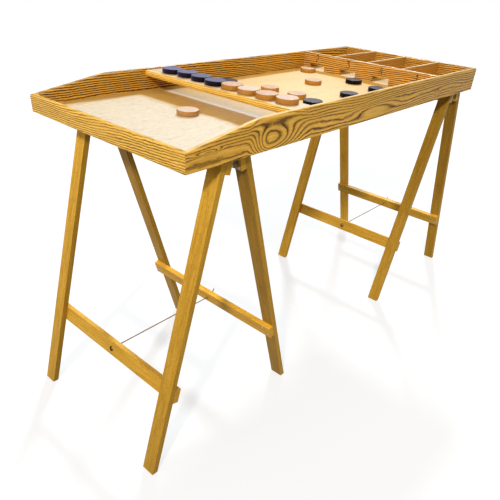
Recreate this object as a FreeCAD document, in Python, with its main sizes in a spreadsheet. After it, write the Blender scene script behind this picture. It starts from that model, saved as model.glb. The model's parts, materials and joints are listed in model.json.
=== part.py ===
import FreeCAD, Part
import os
import re
import Sketcher

# Tabletop shuffleboard on two folding trestles.
# +X runs from the player's end to the gates, +Y to the far side rail, +Z up.
# The origin is on the ground, under the middle of the two trestles. Millimetres.

SIZES = [
    ("board_length", 1300, "over both end rails"),
    ("board_width", 520, "over both side rails"),
    ("front_overhang", 148, "front rail's face to the front trestle's middle"),
    ("rear_overhang", 84, "rear trestle's middle to the end rail's face"),
    ("rest_clear", 0.3, "between the playing panel and the trestles that carry it"),
    ("rail_thick", 14, "wall of the four rails"),
    ("rail_height", 68, "side rails behind the slope, and the end rail"),
    ("front_height", 39, "front rail"),
    ("rail_round", 5, "top edges of the rails"),
    ("slope_start", 6, "level stretch of a side rail at the player's end"),
    ("slope_run", 188, "run of the slope, from there to the full height"),
    ("slope_round", 24, "rounding at the head of the slope, along the rail"),
    ("floor_low", 4, "board's underside to the playing panel"),
    ("floor_thick", 11, "playing panel"),
    ("groove_deep", 5, "groove that holds the panel in each rail"),
    ("bridge_start", 312, "front rail's face to the bridge"),
    ("bridge_deep", 70, "bridge with its nosing, along the board"),
    ("bridge_gap", 34, "playing panel to the bridge's underside"),
    ("bridge_thick", 15, "bridge board"),
    ("nosing_deep", 12, "hardwood strip along the bridge's front"),
    ("nosing_round", 6, "front edges of that strip"),
    ("gate_start", 1008, "front rail's face to the gate bar"),
    ("gate_thick", 14, "gate bar"),
    ("gate_round", 5, "top edges of the gate bar"),
    ("opening_wide", 63, "each gate"),
    ("opening_high", 18, "each gate, above the playing panel"),
    ("divider_thick", 10, "walls between the scoring compartments"),
    ("divider_round", 4, "top edges of those walls"),
    ("disc_wide", 52, "playing disc, across"),
    ("disc_thick", 11.5, "playing disc"),
    ("disc_ease", 1.2, "bevel round both edges of a disc"),
    ("disc_clear", 0.3, "under each disc"),
    ("row_pitch", 54.2, "disc to disc in the row on the bridge"),
    ("row_share", 0.417, "share of that row's spare room at its near end"),
    ("trestle_height", 739, "ground to the top of a trestle"),
    ("trestle_fit", 3, "side rail's inner face to the leg beside it"),
    ("foot_spread", 506, "over the feet, along the board"),
    ("head_spread", 74, "over the leg tops, along the board"),
    ("plank_thick", 15, "legs, stretchers and top rails"),
    ("plank_wide", 37, "legs, stretchers and top rails"),
    ("stretcher_low", 198, "up the leg to the stretcher's lower edge"),
    ("rope_wide", 3.2, "rope, across"),
    ("rope_tail", 24, "rope's loose end, from the middle of its knot"),
    ("tail_lean", 34, "degrees that the loose end leans away from the stretcher"),
    ("knot_wide", 8, "knot at each end of the rope"),
    ("knot_clear", 0.3, "between a knot and the edge it is pulled against"),
    ("bore_wide", 5, "hole for the rope"),
    ("recess_wide", 13, "recess for the knot"),
    ("recess_deep", 7, "recess for the knot"),
    ("hinge_drop", 6, "trestle's top to the hinge axis"),
    ("hinge_long", 40, "each hinge, along its pin"),
    ("hinge_inset", 8, "hinge's end to the end of the top rail"),
    ("leaf_thick", 1.6, "hinge leaf"),
    ("leaf_high", 27, "hinge leaf, down the top rail"),
    ("knuckle_wide", 6.4, "hinge knuckle, across"),
    ("knuckle_clear", 0.3, "between neighbouring knuckles"),
    ("pin_wide", 3, "hinge pin"),
    ("pin_clear", 0.05, "round the hinge pin"),
]

DERIVED = [
    ("trestle_spacing", "=board_length - front_overhang - rear_overhang"),
    ("board_front", "=-trestle_spacing / 2 - front_overhang"),
    ("board_low", "=trestle_height + rest_clear - floor_low"),
    ("inner_width", "=board_width - 2 * rail_thick"),
    ("trestle_width", "=inner_width - 2 * trestle_fit"),
    ("floor_top", "=floor_low + floor_thick"),
    ("slope_angle", "=atan((rail_height - front_height) / slope_run)"),
    ("head_radius", "=slope_round / tan(slope_angle / 2)"),
    ("free_half", "=(inner_width - disc_wide) / 2"),
    ("bridge_low", "=floor_top + bridge_gap"),
    ("bridge_top", "=bridge_low + bridge_thick"),
    ("lane_pitch", "=(inner_width + divider_thick) / 4"),
    ("divider_start", "=gate_start + gate_thick"),
    ("lean_tan", "=(foot_spread - head_spread) / 2 / trestle_height"),
    ("lean", "=atan(lean_tan)"),
    ("lean_sin", "=sin(lean)"),
    ("lean_cos", "=cos(lean)"),
    ("foot_inner", "=foot_spread / 2 - plank_thick / lean_cos"),
    ("leg_long", "=trestle_height / lean_cos"),
    ("stretcher_joint", "=stretcher_low + plank_wide / 2"),
    ("hinge_up", "=foot_inner * lean_sin + (trestle_height - hinge_drop) * lean_cos"),
    ("hinge_out", "=foot_inner * lean_cos - (trestle_height - hinge_drop) * lean_sin"),
    ("hinge_place", "=trestle_width / 2 - hinge_inset - hinge_long / 2"),
    ("knuckle_long", "=(hinge_long - 2 * knuckle_clear) / 3"),
    ("rope_level", "=stretcher_joint * lean_cos - plank_thick / 2 * lean_sin"),
    ("rope_reach", "=foot_inner - stretcher_joint * lean_sin - plank_thick / 2 * lean_cos"),
    ("recess_floor", "=recess_deep - plank_thick / 2 / lean_cos"),
    ("knot_reach", "=rope_reach - recess_floor + sqrt(knot_wide ^ 2 - bore_wide ^ 2) / 2 + knot_clear"),
]

# Discs that lie on the playing panel: wood, distance along the board, and place across
# it, as a share of the way from the middle line to the far rail.
LOOSE_DISCS = [
    ("light", "bridge_start - 75", -0.01),
    ("dark", "gate_start - 445", 0.84),
    ("light", "gate_start - 407", 0.265),
    ("light", "gate_start - 405", -0.165),
    ("dark", "gate_start - 438", -0.52),
    ("light", "gate_start - 206", 0.24),
    ("dark", "gate_start - 78", -0.065),
    ("dark", "gate_start - 266", -0.53),
    ("dark", "gate_start - 125", -0.57),
]
ROW_DISCS = ["light", "light", "light", "light", "dark", "dark", "dark", "dark"]
ROW_STAGGER = [4, -2, -3, -1, -4, 2, 5, 1]

doc = FreeCAD.newDocument("TabletopShuffleboard")
sheet = doc.addObject("Spreadsheet::Sheet", "Sizes")
nodes = []


def fill_sheet():
    row = 1
    for alias, size, note in SIZES:
        sheet.set("A%d" % row, str(size))
        sheet.setAlias("A%d" % row, alias)
        sheet.set("B%d" % row, note)
        row += 1
    for alias, formula in DERIVED:
        sheet.set("A%d" % row, formula)
        sheet.setAlias("A%d" % row, alias)
        row += 1
    doc.recompute()


ALIASES = {entry[0] for entry in SIZES + DERIVED}


def bound(formula):
    """The formula with each name of the sheet written as the sheet's own cell."""
    return re.sub(r"[a-z_]+", lambda m: "Sizes." + m[0] if m[0] in ALIASES else m[0], str(formula))


def number(formula):
    result = sheet.evalExpression(bound(formula))
    return float(getattr(result, "Value", result))


def bind(feature, name, formula):
    feature.setExpression(name, bound(formula))


def place(feature, x="0", y="0", z="0", turn="0", axis_y=1):
    """Put a sub-part at x, y, z, turned about +Y (or about -Y)."""
    where = "vector(%s; %s; %s)" % (x, y, z)
    turned = "rotation(vector(0; %d; 0); %s)" % (axis_y, turn)
    bind(feature, "Placement", "placement(%s; %s)" % (where, turned))


def new_body(label):
    body = doc.addObject("PartDesign::Body", label)
    body.Label = label
    return body


def keep(feature, label):
    """Count a finished sub-part among those that are written out."""
    feature.Label = label
    nodes.append(feature)


def new_sketch(body, name, plane, offset="0"):
    sketch = body.newObject("Sketcher::SketchObject", name)
    support = [f for f in body.Origin.OriginFeatures if f.Role == plane][0]
    sketch.AttachmentSupport = [(support, "")]
    sketch.MapMode = "FlatFace"
    if offset != "0":
        bind(sketch, "AttachmentOffset.Base.z", offset)
    return sketch


def pin_point(sketch, geometry, position, x, y):
    """Hold one point of a sketch at the place that two formulas give."""
    for kind, formula in (("DistanceX", x), ("DistanceY", y)):
        rule = Sketcher.Constraint(kind, -1, 1, geometry, position, number(formula))
        bind(sketch, "Constraints[%d]" % sketch.addConstraint(rule), formula)


def draw_circle(sketch, x, y, radius):
    middle = FreeCAD.Vector(number(x), number(y), 0)
    ring = sketch.addGeometry(Part.Circle(middle, FreeCAD.Vector(0, 0, 1), number(radius)), False)
    pin_point(sketch, ring, 3, x, y)
    rule = Sketcher.Constraint("Radius", ring, number(radius))
    bind(sketch, "Constraints[%d]" % sketch.addConstraint(rule), radius)


def draw_outline(sketch, points, arcs=None):
    """A closed outline through points; arcs maps an edge's number to its radius and turn.

    A turn of 1 runs anticlockwise and -1 clockwise, by less than half a circle.
    """
    arcs = arcs or {}
    spots = [FreeCAD.Vector(number(x), number(y), 0) for x, y in points]
    for edge, (x, y) in enumerate(points):
        here = spots[edge]
        there = spots[(edge + 1) % len(spots)]
        if edge not in arcs:
            drawn = sketch.addGeometry(Part.LineSegment(here, there), False)
            pin_point(sketch, drawn, 1, x, y)
            first, last = 1, 2
        else:
            radius, turn = arcs[edge]
            size = number(radius)
            chord = there - here
            rise = (size ** 2 - (chord.Length / 2) ** 2) ** 0.5
            aside = FreeCAD.Vector(-chord.y, chord.x, 0).normalize() * turn
            middle = (here + there) * 0.5 + aside * rise
            bulge = middle - aside * size
            curve = Part.Arc(here, bulge, there) if turn > 0 else Part.Arc(there, bulge, here)
            drawn = sketch.addGeometry(curve, False)
            first, last = (1, 2) if turn > 0 else (2, 1)
            pin_point(sketch, drawn, first, x, y)
            rule = Sketcher.Constraint("Radius", drawn, size)
            bind(sketch, "Constraints[%d]" % sketch.addConstraint(rule), radius)
        if edge:
            sketch.addConstraint(Sketcher.Constraint("Coincident", drawn, first, before, ended))
        else:
            opening = (drawn, first)
        before, ended = drawn, last
    sketch.addConstraint(Sketcher.Constraint("Coincident", before, ended, *opening))


def pad(body, sketch, length, both_ways=False, flip=False):
    feature = body.newObject("PartDesign::Pad", "Pad")
    feature.Profile = sketch
    bind(feature, "Length", length)
    feature.SideType = "Symmetric" if both_ways else "One side"
    feature.Reversed = flip
    return feature


def pocket(body, sketch, depth=None, both_ways=False, flip=False):
    feature = body.newObject("PartDesign::Pocket", "Pocket")
    feature.Profile = sketch
    feature.SideType = "Symmetric" if both_ways else "One side"
    feature.Reversed = flip
    if depth is None:
        feature.Type = "ThroughAll"
    else:
        bind(feature, "Length", depth)
    return feature


def round_edges(body, base, radius, chosen):
    """Round those edges of the base feature that the test picks."""
    doc.recompute()
    names = ["Edge%d" % (n + 1) for n, edge in enumerate(base.Shape.Edges) if chosen(edge)]
    feature = body.newObject("PartDesign::Fillet", "Rounding")
    feature.Base = (base, names)
    bind(feature, "Radius", radius)
    return feature


def board_place(feature, x, y="0", z="0"):
    """Places on the board are given from its front, its middle line and its underside."""
    place(feature, "board_front + " + x, y, "board_low + " + z)


def make_cross_rail(label, height, x, inward):
    """Front or end rail: a grooved section run across the board, mitred at both ends."""
    body = new_body(label)
    section = new_sketch(body, "Section", "XZ_Plane")
    out = "%d * " % inward
    points = [
        ("0", "0"),
        ("0", height + " - rail_round"),
        (out + "rail_round", height),
        (out + "(rail_thick - rail_round)", height),
        (out + "rail_thick", height + " - rail_round"),
        (out + "rail_thick", "floor_top"),
        (out + "(rail_thick - groove_deep)", "floor_top"),
        (out + "(rail_thick - groove_deep)", "floor_low"),
        (out + "rail_thick", "floor_low"),
        (out + "rail_thick", "0"),
    ]
    draw_outline(section, points, {1: ("rail_round", -inward), 3: ("rail_round", -inward)})
    pad(body, section, "board_width", both_ways=True)
    mitre = new_sketch(body, "Mitre", "XY_Plane")
    for side in (-1, 1):
        corner = "%d * board_width / 2" % side
        draw_outline(mitre, [
            ("0", corner),
            (out + "rail_thick", corner),
            (out + "rail_thick", "%d * inner_width / 2" % side),
        ])
    pocket(body, mitre, both_ways=True)
    board_place(body, x)
    keep(body, label)


def make_side_rail(label, side):
    """Side rail: low at the player's end, then a straight slope to the full height."""
    body = new_body(label)
    face = new_sketch(body, "Face", "XZ_Plane")
    points = [
        ("0", "0"),
        ("board_length", "0"),
        ("board_length", "rail_height"),
        ("slope_start + slope_run + slope_round", "rail_height"),
        (
            "slope_start + slope_run - slope_round * cos(slope_angle)",
            "rail_height - slope_round * sin(slope_angle)",
        ),
        ("slope_start", "front_height"),
        ("0", "front_height"),
    ]
    draw_outline(face, points, {3: ("head_radius", 1)})
    plank = pad(body, face, "rail_thick", flip=side > 0)
    low = number("front_height") - 0.01
    round_edges(body, plank, "rail_round", lambda edge: (
        edge.BoundBox.ZMin > low
        and edge.BoundBox.XLength > 1
    ))
    groove = new_sketch(body, "Groove", "XZ_Plane")
    draw_outline(groove, [
        ("0", "floor_low"),
        ("board_length", "floor_low"),
        ("board_length", "floor_top"),
        ("0", "floor_top"),
    ])
    pocket(body, groove, "groove_deep", flip=side < 0)
    mitre = new_sketch(body, "Mitre", "XY_Plane")
    for end, inward in (("0", 1), ("board_length", -1)):
        draw_outline(mitre, [
            (end, "0"),
            ("%s + %d * rail_thick" % (end, inward), "0"),
            (end, "%d * rail_thick" % side),
        ])
    pocket(body, mitre, both_ways=True)
    board_place(body, "0", "%d * inner_width / 2" % side)
    keep(body, label)


def make_floor():
    body = new_body("playing_panel")
    plan = new_sketch(body, "Plan", "XY_Plane")
    half = "(inner_width / 2 + groove_deep)"
    near_end = "rail_thick - groove_deep"
    far_end = "board_length - rail_thick + groove_deep"
    draw_outline(plan, [(near_end, "-" + half), (far_end, "-" + half), (far_end, half), (near_end, half)])
    pad(body, plan, "floor_thick")
    board_place(body, "0", z="floor_low")
    keep(body, "playing_panel")


def make_bridge():
    """The board that the discs slide under, with a rounded hardwood nosing."""
    shelf = new_body("bridge_shelf")
    section = new_sketch(shelf, "Section", "XZ_Plane")
    draw_outline(section, [
        ("nosing_deep", "0"),
        ("bridge_deep", "0"),
        ("bridge_deep", "bridge_thick"),
        ("nosing_deep", "bridge_thick"),
    ])
    pad(shelf, section, "inner_width", both_ways=True)
    board_place(shelf, "bridge_start", z="bridge_low")
    keep(shelf, "bridge_shelf")
    nosing = new_body("bridge_nosing")
    section = new_sketch(nosing, "Section", "XZ_Plane")
    points = [
        ("nosing_round", "0"),
        ("nosing_deep", "0"),
        ("nosing_deep", "bridge_thick"),
        ("nosing_round", "bridge_thick"),
        ("0", "bridge_thick - nosing_round"),
        ("0", "nosing_round"),
    ]
    draw_outline(section, points, {3: ("nosing_round", 1), 5: ("nosing_round", 1)})
    pad(nosing, section, "inner_width", both_ways=True)
    board_place(nosing, "bridge_start", z="bridge_low")
    keep(nosing, "bridge_nosing")


def make_gate_bar():
    """The bar with four gates, cut up from its lower edge."""
    body = new_body("gate_bar")
    section = new_sketch(body, "Section", "XZ_Plane")
    points = [
        ("0", "floor_top"),
        ("gate_thick", "floor_top"),
        ("gate_thick", "rail_height - gate_round"),
        ("gate_thick - gate_round", "rail_height"),
        ("gate_round", "rail_height"),
        ("0", "rail_height - gate_round"),
    ]
    draw_outline(section, points, {2: ("gate_round", 1), 4: ("gate_round", 1)})
    pad(body, section, "inner_width", both_ways=True)
    gates = new_sketch(body, "Gates", "YZ_Plane")
    for lane in (-1.5, -0.5, 0.5, 1.5):
        left = "%s * lane_pitch - opening_wide / 2" % lane
        right = "%s * lane_pitch + opening_wide / 2" % lane
        draw_outline(gates, [
            (left, "floor_top"),
            (right, "floor_top"),
            (right, "floor_top + opening_high"),
            (left, "floor_top + opening_high"),
        ])
    pocket(body, gates, both_ways=True)
    board_place(body, "gate_start")
    keep(body, "gate_bar")


def make_divider(lane):
    label = "divider_%d" % (lane + 2)
    body = new_body(label)
    section = new_sketch(body, "Section", "YZ_Plane")
    points = [
        ("-divider_thick / 2", "floor_top"),
        ("divider_thick / 2", "floor_top"),
        ("divider_thick / 2", "rail_height - divider_round"),
        ("divider_thick / 2 - divider_round", "rail_height"),
        ("divider_round - divider_thick / 2", "rail_height"),
        ("-divider_thick / 2", "rail_height - divider_round"),
    ]
    draw_outline(section, points, {2: ("divider_round", 1), 4: ("divider_round", 1)})
    pad(body, section, "board_length - rail_thick - divider_start")
    board_place(body, "divider_start", "%d * lane_pitch" % lane)
    keep(body, label)


def make_disc(label, x, y, level):
    """A turned playing disc with bevelled edges."""
    body = new_body(label)
    section = new_sketch(body, "Section", "XZ_Plane")
    points = [
        ("0", "0"),
        ("disc_wide / 2 - disc_ease", "0"),
        ("disc_wide / 2", "disc_ease"),
        ("disc_wide / 2", "disc_thick - disc_ease"),
        ("disc_wide / 2 - disc_ease", "disc_thick"),
        ("0", "disc_thick"),
    ]
    draw_outline(section, points)
    turned = body.newObject("PartDesign::Revolution", "Turned")
    turned.Profile = section
    turned.ReferenceAxis = (section, ["V_Axis"])
    turned.Angle = 360
    board_place(body, x, y, level + " + disc_clear")
    keep(body, label)


def make_discs():
    row_long = "%d * row_pitch" % (len(ROW_DISCS) - 1)
    row_near = "row_share * (2 * free_half - %s) - free_half" % row_long
    for n, wood in enumerate(ROW_DISCS):
        x = "bridge_start + bridge_deep / 2 + %d" % (ROW_STAGGER[n] + 4)
        y = "%s + %d * row_pitch" % (row_near, n)
        make_disc("%s_disc_%d" % (wood, n + 1), x, y, "bridge_top")
    first = len(ROW_DISCS) + 1
    for n, (wood, x, share) in enumerate(LOOSE_DISCS, first):
        y = "%s * free_half" % share
        make_disc("%s_disc_%d" % (wood, n), x, y, "floor_top")
    entering = first + len(LOOSE_DISCS)
    make_disc("light_disc_%d" % entering, "gate_start - 50", "1.5 * lane_pitch", "floor_top")
    scored = entering + 1
    make_disc("dark_disc_%d" % scored, "divider_start + 106", "0.5 * lane_pitch - 12", "floor_top")


def make_plank_across(label, points, spot, bore_facing=None):
    """A stretcher or top rail, held against the inner faces of both legs."""
    body = new_body(label)
    section = new_sketch(body, "Section", "XZ_Plane")
    draw_outline(section, points)
    pad(body, section, "trestle_width", both_ways=True)
    if bore_facing:
        bore_for_rope(body, bore_facing)
    place(body, **spot)
    keep(body, label)


def bore_for_rope(body, facing):
    """A level hole through the middle of a stretcher, with a recess for the knot outside."""
    profile = new_sketch(body, "Bore", "XZ_Plane")

    def along(run, off):
        x = "%d * (plank_thick / 2 + (%s) * lean_cos - (%s) * lean_sin)" % (facing, run, off)
        z = "stretcher_joint + (%s) * lean_sin + (%s) * lean_cos" % (run, off)
        return x, z

    spots = [
        along("-plank_wide", "0"),
        along("-plank_wide", "recess_wide / 2"),
        along("recess_floor", "recess_wide / 2"),
        along("recess_floor", "bore_wide / 2"),
        along("plank_wide", "bore_wide / 2"),
        along("plank_wide", "0"),
    ]
    draw_outline(profile, spots)
    turned = body.newObject("PartDesign::Groove", "BoreCut")
    turned.Profile = profile
    turned.ReferenceAxis = (profile, ["Edge6"])
    turned.Angle = 360


def make_leg(label, side, facing, spot):
    """A leg, cut level at the foot and at the top."""
    body = new_body(label)
    face = new_sketch(body, "Face", "XZ_Plane")
    out = "%d * plank_thick" % -facing
    draw_outline(face, [
        ("0", "0"),
        ("0", "leg_long"),
        (out, "leg_long - plank_thick * lean_tan"),
        (out, "-plank_thick * lean_tan"),
    ])
    pad(body, face, "plank_wide", both_ways=True)
    place(body, y="%d * (trestle_width - plank_wide) / 2" % side, **spot)
    keep(body, label)


def make_leaves(label, facing, spot, ends):
    """Both hinge leaves of one leg frame: a plate on the top rail, and knuckles round the pin."""
    body = new_body(label)
    out = "%d * " % facing
    top = "hinge_up + knuckle_wide / 2"
    under = top + " - leaf_thick"
    for side in (-1, 1):
        plate = new_sketch(body, "Plate", "XZ_Plane", "%d * hinge_place" % side)
        draw_outline(plate, [
            (out + "plank_thick", top),
            (out + "(plank_thick + leaf_thick)", top),
            (out + "(plank_thick + leaf_thick)", top + " - leaf_high"),
            (out + "plank_thick", top + " - leaf_high"),
        ])
        pad(body, plate, "hinge_long", both_ways=True)
        shifts = ["(knuckle_long + knuckle_clear)", "-(knuckle_long + knuckle_clear)"] if ends else ["0"]
        for shift in shifts:
            knuckle = new_sketch(body, "Knuckle", "XZ_Plane", "%d * hinge_place + %s" % (side, shift))
            tuck = "sqrt(knuckle_wide * leaf_thick - leaf_thick * leaf_thick)"
            points = [
                (out + "plank_thick", top),
                (out + "hinge_out", top),
                (out + "(hinge_out + knuckle_wide / 2)", "hinge_up"),
                (out + "hinge_out", "hinge_up - knuckle_wide / 2"),
                (out + "(hinge_out - %s)" % tuck, under),
                (out + "plank_thick", under),
            ]
            curl = ("knuckle_wide / 2", -facing)
            draw_outline(knuckle, points, {1: curl, 2: curl, 3: curl})
            pad(body, knuckle, "knuckle_long", both_ways=True)
    bore = new_sketch(body, "Bore", "XZ_Plane")
    draw_circle(bore, out + "hinge_out", "hinge_up", "pin_wide / 2 + pin_clear")
    pocket(body, bore, both_ways=True)
    place(body, **spot)
    keep(body, label)


def make_pins(label, middle):
    body = new_body(label)
    for side in (-1, 1):
        end = new_sketch(body, "End", "XZ_Plane", "%d * hinge_place" % side)
        draw_circle(end, "0", "0", "pin_wide / 2")
        pad(body, end, "hinge_long", both_ways=True)
    place(body, middle, z="trestle_height - hinge_drop")
    keep(body, label)


def make_rope(label, middle):
    """A rope pulled tight between the two stretchers, with a knot in each recess.

    Behind the rear stretcher its loose end stands up from the knot.
    """
    body = new_body(label)
    profile = new_sketch(body, "Profile", "XZ_Plane")
    neck = "(knot_reach - sqrt(knot_wide * knot_wide - rope_wide * rope_wide) / 2)"
    points = [
        ("-(knot_reach + knot_wide / 2)", "0"),
        ("knot_reach + knot_wide / 2", "0"),
        (neck, "rope_wide / 2"),
        ("-" + neck, "rope_wide / 2"),
    ]
    draw_outline(profile, points, {1: ("knot_wide / 2", 1), 3: ("knot_wide / 2", 1)})
    turned = body.newObject("PartDesign::Revolution", "Turned")
    turned.Profile = profile
    turned.ReferenceAxis = (profile, ["H_Axis"])
    turned.Angle = 360
    tail = new_sketch(body, "Tail", "XZ_Plane")
    tip = "knot_reach + rope_tail * sin(tail_lean)"
    side = "rope_wide / 2 * cos(tail_lean)"
    rise = "rope_wide / 2 * sin(tail_lean)"
    draw_outline(tail, [
        ("knot_reach", "0"),
        (tip, "rope_tail * cos(tail_lean)"),
        ("%s + %s" % (tip, side), "rope_tail * cos(tail_lean) - " + rise),
        ("knot_reach + " + side, "-" + rise),
    ])
    spun = body.newObject("PartDesign::Revolution", "Spun")
    spun.Profile = tail
    spun.ReferenceAxis = (tail, ["Edge1"])
    spun.Angle = 360
    place(body, middle, z="rope_level")
    keep(body, label)


def make_frame(name, middle, facing):
    """One leg frame of a trestle, drawn upright and leant towards its partner."""
    spot = {
        "x": "%s + %d * foot_inner" % (middle, -facing),
        "turn": "lean",
        "axis_y": facing,
    }
    for side, word in ((-1, "near"), (1, "far")):
        make_leg("%s_%s_leg" % (name, word), side, facing, spot)
    out = "%d * plank_thick" % facing
    low = "stretcher_low"
    high = "stretcher_low + plank_wide"
    square = [("0", low), (out, low), (out, high), ("0", high)]
    make_plank_across(name + "_stretcher", square, spot, facing)
    low = "leg_long - plank_wide"
    level = [("0", low), (out, low), (out, "leg_long + plank_thick * lean_tan"), ("0", "leg_long")]
    make_plank_across(name + "_top_rail", level, spot)
    make_leaves(name + "_hinge_leaves", facing, spot, ends=facing > 0)


def make_trestle(name, middle):
    make_frame(name + "_front", middle, 1)
    make_frame(name + "_rear", middle, -1)
    make_pins(name + "_hinge_pins", middle)
    make_rope(name + "_rope", middle)


def check_and_write():
    doc.recompute()
    for feature in doc.Objects:
        if "Invalid" in feature.State or "Error" in feature.State:
            raise RuntimeError("%s did not build: %s" % (feature.Label, feature.State))
    os.makedirs("parts", exist_ok=True)
    for node in nodes:
        if node.Shape.isNull() or not node.Shape.isValid():
            raise RuntimeError("%s has no sound shape" % node.Label)
        node.Shape.exportStep("parts/%s.step" % node.Label)
        box = node.Shape.BoundBox
        print("%-34s solids %2d volume %10.0f  z %6.1f to %6.1f" % (
            node.Label, len(node.Shape.Solids), node.Shape.Volume, box.ZMin, box.ZMax))


fill_sheet()
make_cross_rail("front_rail", "front_height", "0", 1)
make_cross_rail("end_rail", "rail_height", "board_length", -1)
make_side_rail("near_side_rail", -1)
make_side_rail("far_side_rail", 1)
make_floor()
make_bridge()
make_gate_bar()
for lane in (-1, 0, 1):
    make_divider(lane)
make_discs()
make_trestle("front_trestle", "-trestle_spacing / 2")
make_trestle("rear_trestle", "trestle_spacing / 2")
check_and_write()
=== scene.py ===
import json
import math
import random

import bmesh
import bpy
from mathutils import Matrix, Vector


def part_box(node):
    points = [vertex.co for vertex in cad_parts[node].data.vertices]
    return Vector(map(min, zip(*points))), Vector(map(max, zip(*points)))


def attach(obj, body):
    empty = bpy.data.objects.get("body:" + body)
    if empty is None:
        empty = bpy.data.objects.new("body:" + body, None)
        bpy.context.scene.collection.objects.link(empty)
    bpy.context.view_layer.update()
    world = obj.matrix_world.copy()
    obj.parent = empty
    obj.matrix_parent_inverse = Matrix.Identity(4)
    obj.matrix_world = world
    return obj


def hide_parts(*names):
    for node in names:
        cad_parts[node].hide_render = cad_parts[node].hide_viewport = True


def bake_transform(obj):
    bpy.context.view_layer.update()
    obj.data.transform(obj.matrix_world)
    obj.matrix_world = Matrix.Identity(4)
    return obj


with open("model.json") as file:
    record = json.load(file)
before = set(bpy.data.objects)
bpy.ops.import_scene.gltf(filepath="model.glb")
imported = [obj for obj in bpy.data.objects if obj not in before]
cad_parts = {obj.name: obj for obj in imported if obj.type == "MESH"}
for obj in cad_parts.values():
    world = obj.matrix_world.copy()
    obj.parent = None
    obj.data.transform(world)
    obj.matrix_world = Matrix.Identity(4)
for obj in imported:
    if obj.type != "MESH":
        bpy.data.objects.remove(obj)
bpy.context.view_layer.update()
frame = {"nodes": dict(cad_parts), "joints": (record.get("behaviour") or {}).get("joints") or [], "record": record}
nodes = frame["nodes"]
joints = {joint["name"]: joint for joint in frame["joints"]}
print("frame loaded:", len(nodes), "nodes")


# camera

view = {
    "place": (-1.230964, -0.884459, 1.051046),
    "heading": 39.012,        # degrees, from +X towards +Y
    "dip": 32.749,            # degrees below the horizon
    "roll": 4.359,            # degrees
    "lens": 35.786,
    "sensor": 36.0,
    "shift": (-0.01627, 0.06872),
    "nearest": 0.02,
}


def addCamera():
    data = bpy.data.cameras.new("photoView")
    data.lens = view["lens"]
    data.sensor_width = view["sensor"]
    data.shift_x, data.shift_y = view["shift"]
    data.clip_start = view["nearest"]
    camera = bpy.data.objects.new("photoView", data)
    bpy.context.scene.collection.objects.link(camera)
    heading = math.radians(view["heading"] - 90)
    pitch = math.radians(90 - view["dip"])
    turned = Matrix.Rotation(heading, 4, "Z") @ Matrix.Rotation(pitch, 4, "X")
    turned = turned @ Matrix.Rotation(math.radians(view["roll"]), 4, "Z")
    camera.matrix_world = Matrix.Translation(view["place"]) @ turned
    bpy.context.scene.camera = camera


# light, floor and background

studio = {
    "skyLow": 0.03,           # light on matt surfaces from the horizon and below
    "skyHigh": 0.66,          # and from overhead
    "skyTint": (0.98, 0.99, 1.0),
    # bearings are degrees from +X towards +Y, heights degrees over the horizon
    "front": {"strength": 2.07, "tint": (1.0, 0.96, 0.9), "softness": 5.0,
              "bearing": 209.0, "height": 34.0},
    "window": {"strength": 2.5, "tint": (0.82, 0.92, 1.0), "softness": 7.0,
               "bearing": 35.0, "height": 41.0},
    "side": {"strength": 0.45, "tint": (1.0, 0.93, 0.82), "softness": 20.0,
             "bearing": 262.0, "height": 17.0},
    "low": {"strength": 0.5, "tint": (1.0, 0.95, 0.86), "softness": 14.0,
            "bearing": 160.0, "height": 18.0},
    "floorShade": 0.34,       # how far the floor is a matt surface and how far it glows
    "floorGlow": 0.66,
    "floorBounce": 0.22,      # its colour as light falls from it on the object
    "floorHalf": 6.0,
}


def towards(bearing, height):
    along, up = math.radians(bearing), math.radians(height)
    return Vector((math.cos(along) * math.cos(up), math.sin(along) * math.cos(up), math.sin(up)))


# 1 for what the camera, a mirror or glass looks at, 0 for light on matt surfaces
def seenDirectly(tree):
    path = put(tree, "ShaderNodeLightPath")
    seen = calc(tree, "ADD", path.outputs["Is Camera Ray"], path.outputs["Is Glossy Ray"])
    seen = calc(tree, "ADD", seen, path.outputs["Is Transmission Ray"])
    return calc(tree, "MINIMUM", seen, 1.0)


def addSky():
    world = bpy.data.worlds.new("studio")
    bpy.context.scene.world = world
    world.use_nodes = True
    tree = world.node_tree
    tree.nodes.clear()
    heading = put(tree, "ShaderNodeTexCoord").outputs["Generated"]
    up = put(tree, "ShaderNodeSeparateXYZ", {0: heading}).outputs[2]
    strength = ranged(tree, up, 0.0, 1.0, studio["skyLow"], studio["skyHigh"])
    soft = put(tree, "ShaderNodeBackground", Color=(*studio["skyTint"], 1), Strength=strength)
    plain = put(tree, "ShaderNodeBackground", Color=(1, 1, 1, 1), Strength=1.0)
    mixed = put(tree, "ShaderNodeMixShader",
                {0: seenDirectly(tree), 1: soft.outputs[0], 2: plain.outputs[0]})
    put(tree, "ShaderNodeOutputWorld", Surface=mixed.outputs[0])


def addLamps():
    for name in ("front", "window", "side", "low"):
        ways = studio[name]
        sun = bpy.data.lights.new(name + "Light", "SUN")
        sun.energy = ways["strength"]
        sun.color = ways["tint"]
        sun.angle = math.radians(ways["softness"])
        lamp = bpy.data.objects.new(name + "Light", sun)
        lamp.rotation_euler = towards(ways["bearing"], ways["height"]).to_track_quat("Z", "Y").to_euler()
        bpy.context.scene.collection.objects.link(lamp)


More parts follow.
